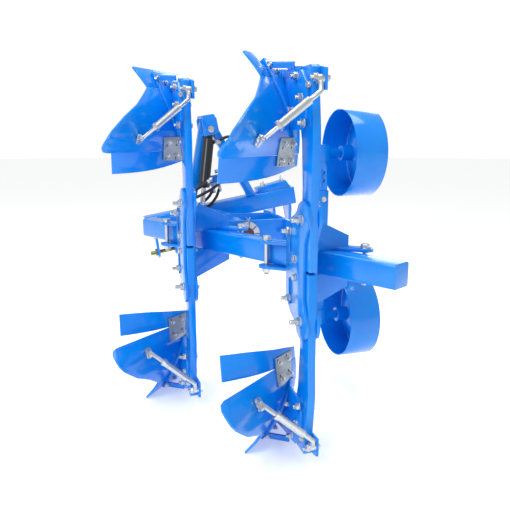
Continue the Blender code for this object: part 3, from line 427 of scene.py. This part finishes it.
for row in ROWS:
    for level, side in SIDES:
        name = f"{row}_{level}_"
        softened(name + "share", SHEET_EDGE, enamel)
        softened(name + "mouldboard", SHEET_EDGE, enamel)
        softened(name + "extension_strip", SHEET_EDGE, enamel)
        softened(name + "frog", SHEET_EDGE, enamel)
        softened(name + "landside", SHEET_EDGE, enamel)
        frog, sheet = surface(name + "frog"), surface(name + "mouldboard")
        share, plate = surface(name + "share"), surface(name + "joint_plate")
        bolts = bmesh.new()
        heads = bmesh.new()
        for x, z in FROG_BOLTS:
            point = body_point(row, x, 0.25, side * z)
            spot, normal = behind(frog, point)
            put(bolts, nut_end(0.011, 0.006), facing(spot, normal))
            for face in (sheet, share):
                hit = face.ray_cast(Vector((point.x, point.y + 1, point.z)), Vector((0, -1, 0)))
                if hit[0]:
                    spot, normal = ahead(face, point)
                    put(heads, countersunk(0.010), facing(spot, normal))
        for y, z in FLANGE_NUTS:
            spot = body_point(row, FLANGE_LEFT, y, side * z)
            put(bolts, nut_end(0.015, 0.010), facing(spot, (-1, 0, 0)))
            outside = 0.0 if z > 0.62 else LEG_RIGHT
            spot = body_point(row, outside, y, side * z)
            put(bolts, bolt_head(0.015), facing(spot, (1, 0, 0)))
        low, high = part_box(name + "joint_plate")
        slots = bmesh.new()
        for across in (0.24, 0.74):
            for up in (0.22, 0.78):
                x = low[0] + (high[0] - low[0]) * (across + 0.10 * (up - 0.5) * side)
                z = low[2] + (high[2] - low[2]) * up
                spot, normal = behind(plate, Vector((x, high[1], z)))
                put(bolts, nut_end(0.0095, 0.005), facing(spot, normal))
                slot_place = Vector((x - 0.007, high[1], z - side * 0.014))
                spot, normal = behind(plate, slot_place)
                put(slots, SLOT, facing(spot - normal * 0.02, normal))
        drilled(softened(name + "joint_plate", 0.0008, grey_steel), slots)
        made(name + "bolts", bolts, zinc, "plough_frame")
        made(name + "plough_bolt_heads", heads, enamel, "plough_frame")


# Braces
# A round bar threaded right and left handed into a hexagon sleeve, so that turning the sleeve
# sets the mouldboard. Its foot bolts to the landside and its eye to the mouldboard's back.
BRACE_FOOT = (-0.0322, 0.016)      # outer face of the foot, sideways and along travel
FOOT_BELOW_EDGE = 0.100            # below the share's edge
EYE_SIDEWAYS = -0.235
EYE_BELOW_EDGE = 0.290
EYE_THICKNESS = 0.0136
EDGE_LEVEL = (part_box("rear_upper_share")[1][2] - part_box("rear_lower_share")[0][2]) / 2

for row in ROWS:
    for level, side in SIDES:
        name = f"{row}_{level}_brace"
        softened(name, 0.0008, zinc)
        bolts = bmesh.new()
        foot_level = side * (EDGE_LEVEL - FOOT_BELOW_EDGE)
        outer = body_point(row, BRACE_FOOT[0], BRACE_FOOT[1], foot_level)
        put(bolts, nut_end(0.014, 0.010), facing(outer, (-1, 0, 0)))
        inner = body_point(row, 0.0, BRACE_FOOT[1], foot_level)
        put(bolts, bolt_head(0.014), facing(inner, (1, 0, 0)))
        point = body_point(row, EYE_SIDEWAYS, 0, side * (EDGE_LEVEL - EYE_BELOW_EDGE))
        sheet = surface(f"{row}_{level}_mouldboard")
        spot, normal = behind(sheet, point)
        put(bolts, nut_end(0.012, 0.007), facing(spot + normal * EYE_THICKNESS, normal))
        spot, normal = ahead(sheet, point)
        put(bolts, countersunk(0.011), facing(spot, normal))
        made(name + "_bolts", bolts, zinc, "plough_frame")


# Turning frame, hub nut, hub shaft and link plate
# Welded plates and a hub tube that carry the beam round the headstock's shaft. A castellated nut
# with a split pin holds the tube on the shaft, which is only primed. The link plate is bolted on.
FRAME_EDGE = 0.0014

primer, tree, shader, place = new_finish("brown_shaft_primer")
# Iron oxide primer on forged steel, thinly brushed: flat, with darker patches of scale.
patches = add_node(tree, "ShaderNodeTexNoise", {"Vector": place, "Scale": per_metre(25),
                                                "Detail": 6.0, "Roughness": 0.7})
colour = add_node(tree, "ShaderNodeMix", {0: patches.outputs["Fac"], 6: linear("#3F282C"),
                                          7: linear("#6D474C")}, data_type="RGBA")
tree.links.new(colour.outputs[2], shader.inputs["Base Color"])
flat = add_node(tree, "ShaderNodeMapRange", {"Value": patches.outputs["Fac"], "To Min": 0.62,
                                             "To Max": 0.4})
tree.links.new(flat.outputs[0], shader.inputs["Roughness"])

softened("turning_frame", FRAME_EDGE, enamel)
softened("link_plate", FRAME_EDGE, enamel)
softened("hub_shaft", 0.001, primer)

low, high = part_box("hub_nut")
radius, length = (high[0] - low[0]) / 2, high[1] - low[1]
centre = Vector(((high[0] + low[0]) / 2, high[1], (high[2] + low[2]) / 2))
bore = (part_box("hub_shaft")[1][0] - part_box("hub_shaft")[0][0]) / 2 + 0.0004
nut = lathe([(bore, 0), (radius - 0.003, 0), (radius, 0.003), (radius, length * 0.6),
             (bore, length * 0.6)], 48, ring=True)
crown = [f for f in nut.faces if f.calc_center_median().z > length * 0.6 - 0.0001]
crown.sort(key=lambda f: math.atan2(f.calc_center_median().y, f.calc_center_median().x))
for k in range(0, len(crown), 6):
    raised = bmesh.ops.extrude_face_region(nut, geom=crown[k:k + 5])["geom"]
    corners = [v for v in raised if isinstance(v, bmesh.types.BMVert)]
    bmesh.ops.translate(nut, vec=(0, 0, length * 0.4), verts=corners)
bmesh.ops.delete(nut, geom=[f for f in crown if f.is_valid and len(f.verts) == 4
                            and all(len(e.link_faces) > 2 for e in f.edges)], context="FACES")
bmesh.ops.recalc_face_normals(nut, faces=nut.faces)
nut.transform(facing(centre, (0, -1, 0)))
item = made("hub_nut_finished", nut, zinc, "headstock")
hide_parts("hub_nut")

# The split pin through the nut's crown: two legs of round wire bent apart.
PIN_WIRE = 0.0024
pin = bmesh.new()
crown_place = centre + Vector((0, -length * 0.82, radius * 0.62))
for bend in (-1, 1):
    leg = [crown_place + Vector((bend * PIN_WIRE * 0.8, 0, 0)),
           crown_place + Vector((bend * PIN_WIRE * 0.8, 0, 0.030)),
           crown_place + Vector((bend * 0.010, 0, 0.044))]
    for a, b in zip(leg, leg[1:]):
        wire = (b - a).length
        put(pin, lathe([(0, 0), (PIN_WIRE, 0), (PIN_WIRE, wire), (0, wire)], 12), facing(a, b - a))
made("hub_nut_split_pin", pin, zinc, "headstock")

bolts = bmesh.new()
low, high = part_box("link_plate")
for x, y in ((low[0] + 0.030, high[1] - 0.030), (high[0] - 0.030, low[1] + 0.030)):
    put(bolts, bolt_head(0.016), Matrix.Translation((x, y, high[2])))
beam_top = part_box("beam")[1][2]
spacer = low[2] - beam_top
put(bolts, lathe([(0, 0), (0.014, 0), (0.014, spacer), (0, spacer)], 24),
    Matrix.Translation((low[0] + 0.030, high[1] - 0.030, beam_top)))
made("link_plate_bolts", bolts, zinc, "plough_frame")

seams = bmesh.new()
HUB_WELD_RADIUS = 0.0465
PLATE_FACE = 0.0095         # a cross plate's face from its middle, with the weld's root
CROSS_PLATES = (0.0225, 0.2625)
HUB_WELD_STEPS = 24
for plate_side in (PLATE_FACE, -PLATE_FACE):
    for place in CROSS_PLATES:
        for k in range(HUB_WELD_STEPS):
            a, b = math.tau * k / HUB_WELD_STEPS, math.tau * (k + 1) / HUB_WELD_STEPS
            ring = [centre + Vector((HUB_WELD_RADIUS * math.cos(t), place + plate_side,
                                     HUB_WELD_RADIUS * math.sin(t))) for t in (a, b)]
            weld(seams, ring[0], ring[1], 0.006)
made("hub_tube_welds", seams, enamel, "plough_frame")


# Depth wheels, their bars and the sleeve
# Rolled rims with a pressed dish and a turned hub, which run on stub axles at the ends of square
# bars. The bars slide in a square sleeve and are locked by a pin through one of their holes.
softened("wheel_sleeve", 0.001, enamel)
low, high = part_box("wheel_sleeve")
bolts = bmesh.new()
for z in (high[2] - 0.040, low[2] + 0.040):
    put(bolts, bolt_head(0.013), facing(((low[0] + high[0]) / 2, low[1], z), (0, -1, 0)))
    put(bolts, nut_end(0.013, 0.010), facing(((low[0] + high[0]) / 2, high[1], z), (0, 1, 0)))
made("wheel_sleeve_bolts", bolts, zinc, "plough_frame")
for level, side in SIDES:
    softened(level + "_wheel_bar", 0.001, enamel)
    node = level + "_depth_wheel"
    low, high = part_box(node)
    radius, width = (high[2] - low[2]) / 2, high[0] - low[0]
    centre = Vector((low[0], (low[1] + high[1]) / 2, (low[2] + high[2]) / 2))
    rim, dish, bore = radius - 0.0055, width / 2, 0.0166
    profile = [(radius, 0.003), (radius, width - 0.003), (radius - 0.0012, width - 0.0008),
               (radius - 0.0028, width), (rim, width - 0.0015), (rim, width - 0.006)]
    profile += [(rim - 0.004, width - 0.010), (rim - 0.012, width - 0.013)]
    profile += [(0.150, dish + 0.050), (0.100, dish + 0.027), (0.060, dish + 0.007),
                (0.040, dish + 0.001), (0.034, dish + 0.004), (0.034, 0.092), (0.032, 0.094),
                (bore, 0.094), (bore, 0.010), (0.032, 0.010), (0.034, 0.012),
                (0.034, dish - 0.009), (0.060, dish - 0.001), (0.100, dish + 0.019),
                (0.150, dish + 0.042), (rim - 0.012, width - 0.0205), (rim - 0.003, width - 0.017),
                (rim, width - 0.020), (rim, 0.002), (radius - 0.0028, 0.0),
                (radius - 0.0008, 0.001)]
    wheel = lathe(profile, 96, ring=True)
    wheel.transform(facing(centre, (1, 0, 0)))
    item = made(node + "_finished", wheel, enamel, level + "_wheel")
    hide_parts(node)


# Headstock: cross tube, lugs, mast, stop block and pins
# A square tube with four hitch lugs, a hub housing and a mast of two leaning bars, all welded. The
# lower link pins and the top link pin are forged steel with an olive zinc plate.
olive, tree, shader, place = new_finish("olive_zinc_chromate", Metallic=0.9)
# Zinc with an olive chromate: a greenish drab metal with an uneven iridescence.
drab = add_node(tree, "ShaderNodeTexNoise", {"Vector": place, "Scale": per_metre(18),
                                             "Detail": 5.0})
colour = add_node(tree, "ShaderNodeMix", {0: drab.outputs["Fac"], 6: linear("#5C6138"),
                                          7: linear("#A29A5C")}, data_type="RGBA")
tree.links.new(colour.outputs[2], shader.inputs["Base Color"])
satin = add_node(tree, "ShaderNodeMapRange", {"Value": drab.outputs["Fac"], "To Min": 0.45,
                                              "To Max": 0.28})
tree.links.new(satin.outputs[0], shader.inputs["Roughness"])

for node in ("cross_tube", "mast", "stop_block"):
    softened(node, 0.0014, enamel)
for node in ("left_hitch_pin", "right_hitch_pin"):
    softened(node, 0.001, olive)


def on_top(tree, x, y):
    """Where a line straight down meets the piece, and the way out of it."""
    spot, normal, _, _ = tree.ray_cast(Vector((x, y, 2.0)), Vector((0, 0, -1)))
    return spot, normal if normal.z > 0 else -normal


bolts = bmesh.new()
low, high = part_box("stop_block")
lid = surface("stop_block")
for x, y in ((0.030, 0.25), (0.052, 0.55), (0.150, 0.25), (0.165, 0.75)):
    spot, normal = on_top(lid, low[0] + x, low[1] + (high[1] - low[1]) * y)
    put(bolts, nut_end(0.012, 0.014), facing(spot, normal))
made("stop_block_bolts", bolts, zinc, "headstock")

seams = bmesh.new()
LEAN = math.radians(10.0)
tube = surface("cross_tube")
for x in (-0.225, -0.180, 0.135, 0.180):
    for y in (-0.058, -0.034):
        spot, normal = on_top(tube, x, y)
        spot_2, _ = on_top(tube, x + 0.028, y)
        weld(seams, spot, spot_2, 0.007)
made("mast_foot_welds", seams, enamel, "headstock")
softened("clevis_pin", 0.0008, zinc)


# Turnover cylinder
# A double-acting cylinder: honed tube with a screwed gland, sprayed black, and a hard-chromed rod
# whose eye meets the crank plate on the hub tube.
black, tree, shader, place = new_finish("black_cylinder_enamel", IOR=1.5, Coat_Weight=0.4,
                                        Coat_Roughness=0.15)
haze = add_node(tree, "ShaderNodeTexNoise", {"Vector": place, "Scale": per_metre(20),
                                             "Detail": 5.0})
colour = add_node(tree, "ShaderNodeMix", {0: haze.outputs["Fac"], 6: linear("#08090B"),
                                          7: linear("#1B1D21")}, data_type="RGBA")
tree.links.new(colour.outputs[2], shader.inputs["Base Color"])
satin = add_node(tree, "ShaderNodeMapRange", {"Value": haze.outputs["Fac"], "To Min": 0.42,
                                              "To Max": 0.24})
tree.links.new(satin.outputs[0], shader.inputs["Roughness"])

chrome, tree, shader, place = new_finish("hard_chrome", Metallic=1.0)
# Ground and chromed bar: mirror bright with a trace of lengthwise wiping by its seals.
wipe = add_node(tree, "ShaderNodeTexNoise", {"Vector": place, "Scale": per_metre(6),
                                             "Detail": 4.0})
colour = add_node(tree, "ShaderNodeMix", {0: wipe.outputs["Fac"], 6: linear("#C7CCD0"),
                                          7: linear("#F1F3F4")}, data_type="RGBA")
tree.links.new(colour.outputs[2], shader.inputs["Base Color"])
polish = add_node(tree, "ShaderNodeMapRange", {"Value": wipe.outputs["Fac"], "To Min": 0.05,
                                               "To Max": 0.16})
tree.links.new(polish.outputs[0], shader.inputs["Roughness"])

softened("cylinder_barrel", 0.0009, black)
softened("cylinder_rod", 0.0007, chrome)


# Hydraulic hoses
# Two wire-braided rubber hoses, 16 mm across, from the cylinder's ports to the coupling block
# under the tie. Their ends are crimped into zinc-plated ferrules with hexagon swivel nuts.
HOSE_RADIUS = 0.008
SWING_Y = 1.357             # the cylinder's place along travel, from the landside heel
HOSE_STEPS = 6
HOSE_GAP = 0.0016           # between a hose and the elbow or union that it meets
HOSE_LEAD = 0.012           # straight out of the elbow
UPPER_LOOPS = ((-0.062, -0.070, 0.446), (-0.024, -0.076, 0.461), (0.005, -0.073, 0.442),
               (0.014, -0.070, 0.395), (0.006, -0.068, 0.335), (-0.020, -0.065, 0.275),
               (-0.060, -0.063, 0.225), (-0.105, -0.062, 0.188), (-0.150, -0.060, 0.163),
               (-0.195, -0.053, 0.140), (-0.232, -0.035, 0.118), (-0.245, -0.009, 0.100),
               (-0.225, 0.013, 0.088), (-0.185, 0.026, 0.088), (-0.145, 0.032, 0.102),
               (-0.110, 0.042, 0.130), (-0.090, 0.050, 0.158))
LOWER_LOOPS = ((-0.142, -0.058, 0.218), (-0.172, -0.068, 0.200), (-0.210, -0.066, 0.176),
               (-0.245, -0.052, 0.150), (-0.272, -0.027, 0.120), (-0.275, 0.002, 0.092),
               (-0.252, 0.023, 0.068), (-0.215, 0.0295, 0.056), (-0.170, 0.0295, 0.055),
               (-0.130, 0.0295, 0.068), (-0.095, 0.033, 0.095), (-0.066, 0.042, 0.130),
               (-0.052, 0.050, 0.162))
UP_MAST = Vector((-math.sin(LEAN), 0, math.cos(LEAN)))

rubber, tree, shader, place = new_finish("wrapped_hose_rubber", Specular_IOR_Level=0.45)
# Synthetic rubber cured in a fabric wrap, which leaves a fine weave in its surface. The weave is
# really 0.8 mm and is drawn 2 mm so that it shows.
weave = add_node(tree, "ShaderNodeTexNoise", {"Vector": place, "Scale": per_metre(2),
                                              "Detail": 4.0})
bloom = add_node(tree, "ShaderNodeTexNoise", {"Vector": place, "Scale": per_metre(35),
                                              "Detail": 3.0})
colour = add_node(tree, "ShaderNodeMix", {0: bloom.outputs["Fac"], 6: linear("#0D0E10"),
                                          7: linear("#26282B")}, data_type="RGBA")
tree.links.new(colour.outputs[2], shader.inputs["Base Color"])
worn = add_node(tree, "ShaderNodeMapRange", {"Value": bloom.outputs["Fac"], "To Min": 0.36,
                                             "To Max": 0.55})
tree.links.new(worn.outputs[0], shader.inputs["Roughness"])
bump = add_node(tree, "ShaderNodeBump", {"Height": weave.outputs["Fac"], "Strength": 0.4,
                                         "Distance": 0.0003})
tree.links.new(bump.outputs["Normal"], shader.inputs["Normal"])


def smooth_route(points, steps):
    """Points read from a Catmull-Rom curve through a route's own points."""
    ends = [points[0] * 2 - points[1]] + points + [points[-1] * 2 - points[-2]]
    out = []
    for a, b, c, d in zip(ends, ends[1:], ends[2:], ends[3:]):
        for k in range(steps):
            t = k / steps
            out.append(0.5 * ((2 * b) + (c - a) * t + (2 * a - 5 * b + 4 * c - d) * t * t
                              + (3 * b - a - 3 * c + d) * t ** 3))
    return out + [points[-1]]


def hose(name, points):
    """A round tube along a smooth route, as a mesh."""
    curve = bpy.data.curves.new(name, "CURVE")
    curve.dimensions = "3D"
    curve.bevel_depth = HOSE_RADIUS
    curve.bevel_resolution = 8
    curve.use_fill_caps = True
    route = smooth_route(points, HOSE_STEPS)
    spline = curve.splines.new("POLY")
    spline.points.add(len(route) - 1)
    for point, spot in zip(spline.points, route):
        point.co = (*spot, 1)
    drawn = bpy.data.objects.new(name + "_line", curve)
    bpy.context.scene.collection.objects.link(drawn)
    bpy.context.view_layer.update()
    graph = bpy.context.evaluated_depsgraph_get()
    mesh = bpy.data.meshes.new_from_object(drawn.evaluated_get(graph))
    bpy.data.objects.remove(drawn)
    bm = bmesh.new()
    bm.from_mesh(mesh)
    bmesh.ops.remove_doubles(bm, verts=bm.verts, dist=0.00001)
    mesh.materials.clear()
    bm.to_mesh(mesh)
    bm.free()
    mesh.shade_smooth()
    mesh.set_sharp_from_angle(angle=math.radians(50))
    mesh.materials.append(rubber)
    item = bpy.data.objects.new(name, mesh)
    bpy.context.scene.collection.objects.link(item)
    return item


def heel_point(place):
    """A place given from the rear landside heel and the middle plane."""
    return body_point("rear", place[0] - 0.0003, place[1], place[2])


FERRULE = lathe([(0, -0.001), (0.0098, -0.001), (0.0104, 0.001), (0.0104, 0.007), (0.0094, 0.008),
                 (0.0094, 0.010), (0.0104, 0.011), (0.0104, 0.017), (0.0094, 0.018),
                 (0.0094, 0.020), (0.0104, 0.021), (0.0104, 0.028), (0.0092, 0.030), (0, 0.030)],
                24)
SWIVEL = hexagon(0.0215, 0.014)
HOSES = (("upper", UPPER_LOOPS, (-0.0782, SWING_Y, 0.4312), (0.06, -1.0, 0.03),
          (-0.0821, 1.410, 0.1793), 0.15, 0.82),
         ("lower", LOWER_LOOPS, (-0.1019, SWING_Y, 0.2326), (-0.45, -0.88, -0.12),
          (-0.0466, 1.410, 0.1856), 0.10, 0.57))
ELBOW_LENGTH = 0.043

for level, loops, port, way, union, still, length in HOSES:
    port, union = heel_point(port), heel_point(union)
    way = Vector(way).normalized()
    start = port + way * (ELBOW_LENGTH + HOSE_GAP)
    points = [start, start + way * HOSE_LEAD]
    points += [heel_point((x, y + SWING_Y, z)) for x, y, z in loops]
    points += [union - UP_MAST * 0.010, union]
    item = hose(level + "_port_hose_finished", points)
    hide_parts(level + "_port_hose")
    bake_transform(item)
    fitting = bmesh.new()
    elbow = lathe([(0, -0.004), (0.0096, -0.004), (0.0100, 0.0), (0.0100, ELBOW_LENGTH - 0.012),
                   (0, ELBOW_LENGTH - 0.012)], 24)
    put(fitting, elbow, facing(port, way))
    put(fitting, SWIVEL, facing(port + way * (ELBOW_LENGTH - 0.014), way))
    put(fitting, FERRULE, facing(start, way))
    made(level + "_port_fitting", fitting, zinc, "barrel")
    end = bmesh.new()
    put(end, FERRULE, facing(union, -UP_MAST))
    made(level + "_union_ferrule", end, zinc, "headstock")

softened("coupling_block", 0.0008, zinc)
softened("relief_valve", 0.0008, zinc)


# Studio
# A plain pale floor under the lowest share edges inside a plain white dome, soft white lamps, and
# a camera behind and to the left of the plough, 1.2 m above the floor.
FLOOR_SIZE = 60.0
DOME_RADIUS = 28.0
FLOOR_GLOW = 0.36
SKY_LIGHT = 0.62
CAMERA_PLACE = (-0.755838, -3.252, 0.597677)
CAMERA_AIM = (0.27124, 0.9398, -0.20791)
CAMERA_LENS = 40.45
LAMPS = (("key", (-3.0, -3.4, 3.4), 2.2, 120), ("top", (0.4, -0.6, 4.2), 2.4, 90),
         ("back", (2.6, 3.0, 2.4), 2.4, 50))

pale, tree, shader, place = new_finish("pale_studio_paper", Roughness=0.95,
                                       Specular_IOR_Level=0.1, Emission_Strength=FLOOR_GLOW)
# Matt white paper, lit from behind a little so that it stays pale under the plough.
fibre = add_node(tree, "ShaderNodeTexNoise", {"Vector": place, "Scale": per_metre(300)})
colour = add_node(tree, "ShaderNodeMix", {0: fibre.outputs["Fac"], 6: linear("#F4F5F6"),
                                          7: linear("#FAFAFA")}, data_type="RGBA")
tree.links.new(colour.outputs[2], shader.inputs["Base Color"])
shader.inputs["Emission Color"].default_value = (1, 1, 1, 1)

glow, tree, shader, place = new_finish("white_studio_dome", Emission_Strength=1.0)
shader.inputs["Base Color"].default_value = (0, 0, 0, 1)
shader.inputs["Emission Color"].default_value = (1, 1, 1, 1)

paper = bmesh.new()
bmesh.ops.create_grid(paper, x_segments=2, y_segments=2, size=FLOOR_SIZE / 2,
                      matrix=Matrix.Translation((0, 0, cad_box[0][2] - 0.001)))
shell = bmesh.new()
bmesh.ops.create_uvsphere(shell, u_segments=48, v_segments=24, radius=DOME_RADIUS)
bmesh.ops.reverse_faces(shell, faces=shell.faces)
for name, bm, finish in (("floor", paper, pale), ("dome", shell, glow)):
    mesh = bpy.data.meshes.new(name)
    bm.to_mesh(mesh)
    bm.free()
    mesh.materials.append(finish)
    item = bpy.data.objects.new(name, mesh)
    bpy.context.scene.collection.objects.link(item)
item.visible_diffuse = False
item.visible_glossy = False
item.visible_shadow = False

middle = (Vector(cad_box[0]) + Vector(cad_box[1])) / 2
for name, spot, size, power in LAMPS:
    lamp = bpy.data.lights.new(name, "AREA")
    lamp.size = size
    lamp.energy = power
    item = bpy.data.objects.new(name, lamp)
    item.matrix_world = facing(Vector(spot), Vector(spot) - middle)
    bpy.context.scene.collection.objects.link(item)

world = bpy.data.worlds.new("studio")
world.use_nodes = True
sky = world.node_tree.nodes["Background"]
sky.inputs["Color"].default_value = (1, 1, 1, 1)
sky.inputs["Strength"].default_value = SKY_LIGHT
bpy.context.scene.world = world
bpy.context.scene.view_settings.view_transform = "Standard"

lens = bpy.data.cameras.new("camera")
lens.lens = CAMERA_LENS
lens.sensor_width = 36.0
camera = bpy.data.objects.new("camera", lens)
camera.matrix_world = facing(Vector(CAMERA_PLACE), -Vector(CAMERA_AIM))
bpy.context.scene.collection.objects.link(camera)
bpy.context.scene.camera = camera
